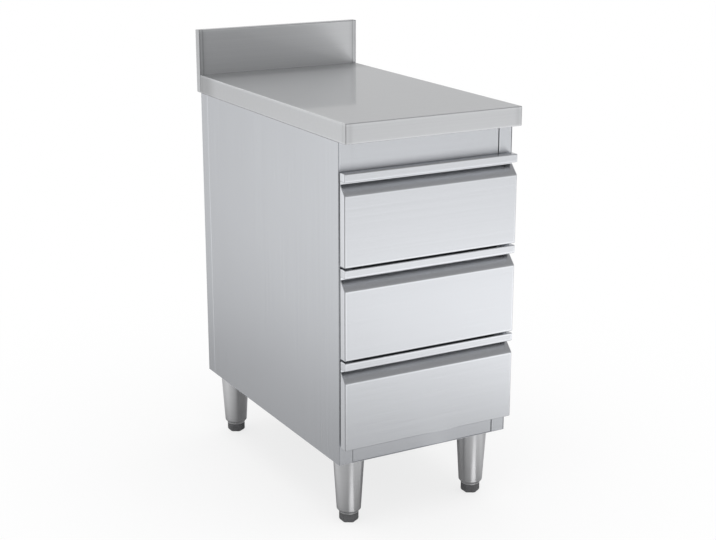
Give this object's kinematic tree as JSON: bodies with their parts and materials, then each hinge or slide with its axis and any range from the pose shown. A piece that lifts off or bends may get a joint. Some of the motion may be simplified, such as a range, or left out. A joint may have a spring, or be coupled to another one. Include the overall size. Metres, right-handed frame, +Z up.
{
  "type": "drawer cabinet",
  "caption": "Free-standing stainless steel worktop cabinet with a rear upstand, sliding drawers with folded lip grips, and tapered legs on levelling feet",
  "frame": {"origin": "on the floor under the middle of the worktop", "axes": "X to the right seen from the front, drawers face -Y, +Z up"},
  "size_m": [0.4, 0.7, 0.95],
  "materials": {
    "worktop_steel": "satin",
    "body_steel": "satin",
    "front_steel": "satin",
    "leg_steel": "polished satin",
    "runner_zinc": "zinc plated",
    "core_board": "raw chipboard",
    "foot_plastic": "matt"
  },
  "bodies": {
    "cabinet": {"worktop": "worktop_steel", "worktop_core": "core_board", "rear_upstand": "worktop_steel", "upstand_end_left": "worktop_steel", "upstand_end_right": "worktop_steel", "side_panel_left": "body_steel", "side_panel_right": "body_steel", "back_panel": "body_steel", "base_panel": "body_steel", "front_post_left": "body_steel", "front_post_right": "body_steel", "rear_post_left": "body_steel", "rear_post_right": "body_steel", "top_front_rail": "body_steel", "bottom_front_rail": "body_steel", "top_rear_rail": "body_steel", "bottom_rear_rail": "body_steel", "leg_plate_front_left": "body_steel", "leg_plate_front_right": "body_steel", "leg_plate_rear_left": "body_steel", "leg_plate_rear_right": "body_steel", "leg_front_left": "leg_steel", "leg_front_right": "leg_steel", "leg_rear_left": "leg_steel", "leg_rear_right": "leg_steel", "cabinet_runner_1_left": "runner_zinc", "cabinet_runner_1_right": "runner_zinc", "cabinet_runner_2_left": "runner_zinc", "cabinet_runner_2_right": "runner_zinc", "cabinet_runner_3_left": "runner_zinc", "cabinet_runner_3_right": "runner_zinc"},
    "drawer_1": {"drawer_front_1": "front_steel", "drawer_backing_1": "body_steel", "drawer_tray_1": "body_steel", "drawer_runner_1_left": "runner_zinc", "drawer_runner_1_right": "runner_zinc"},
    "middle_runners_1": {"middle_runner_1_left": "runner_zinc", "middle_runner_1_right": "runner_zinc"},
    "drawer_2": {"drawer_front_2": "front_steel", "drawer_backing_2": "body_steel", "drawer_tray_2": "body_steel", "drawer_runner_2_left": "runner_zinc", "drawer_runner_2_right": "runner_zinc"},
    "middle_runners_2": {"middle_runner_2_left": "runner_zinc", "middle_runner_2_right": "runner_zinc"},
    "drawer_3": {"drawer_front_3": "front_steel", "drawer_backing_3": "body_steel", "drawer_tray_3": "body_steel", "drawer_runner_3_left": "runner_zinc", "drawer_runner_3_right": "runner_zinc"},
    "middle_runners_3": {"middle_runner_3_left": "runner_zinc", "middle_runner_3_right": "runner_zinc"},
    "levelling_foot_front_left": {"foot_front_left": "foot_plastic"},
    "levelling_foot_front_right": {"foot_front_right": "foot_plastic"},
    "levelling_foot_rear_left": {"foot_rear_left": "foot_plastic"},
    "levelling_foot_rear_right": {"foot_rear_right": "foot_plastic"}
  },
  "joints": [
    {"name": "drawer_1_slide", "type": "slide", "parent": "cabinet", "child": "drawer_1", "axis": [0, -1, 0], "range_m": [0, 0.54]},
    {"name": "middle_runners_1_slide", "type": "slide", "parent": "cabinet", "child": "middle_runners_1", "axis": [0, -1, 0], "range_m": [0, 0.27]},
    {"name": "drawer_2_slide", "type": "slide", "parent": "cabinet", "child": "drawer_2", "axis": [0, -1, 0], "range_m": [0, 0.54]},
    {"name": "middle_runners_2_slide", "type": "slide", "parent": "cabinet", "child": "middle_runners_2", "axis": [0, -1, 0], "range_m": [0, 0.27]},
    {"name": "drawer_3_slide", "type": "slide", "parent": "cabinet", "child": "drawer_3", "axis": [0, -1, 0], "range_m": [0, 0.54]},
    {"name": "middle_runners_3_slide", "type": "slide", "parent": "cabinet", "child": "middle_runners_3", "axis": [0, -1, 0], "range_m": [0, 0.27]},
    {"name": "foot_front_left_screw", "type": "slide", "parent": "cabinet", "child": "levelling_foot_front_left", "axis": [0, 0, -1], "range_m": [0, 0.02]},
    {"name": "foot_front_right_screw", "type": "slide", "parent": "cabinet", "child": "levelling_foot_front_right", "axis": [0, 0, -1], "range_m": [0, 0.02]},
    {"name": "foot_rear_left_screw", "type": "slide", "parent": "cabinet", "child": "levelling_foot_rear_left", "axis": [0, 0, -1], "range_m": [0, 0.02]},
    {"name": "foot_rear_right_screw", "type": "slide", "parent": "cabinet", "child": "levelling_foot_rear_right", "axis": [0, 0, -1], "range_m": [0, 0.02]}
  ],
  "couplings": [
    {"joint": "middle_runners_1_slide", "follows": "drawer_1_slide", "ratio": 0.5},
    {"joint": "middle_runners_2_slide", "follows": "drawer_2_slide", "ratio": 0.5},
    {"joint": "middle_runners_3_slide", "follows": "drawer_3_slide", "ratio": 0.5}
  ]
}
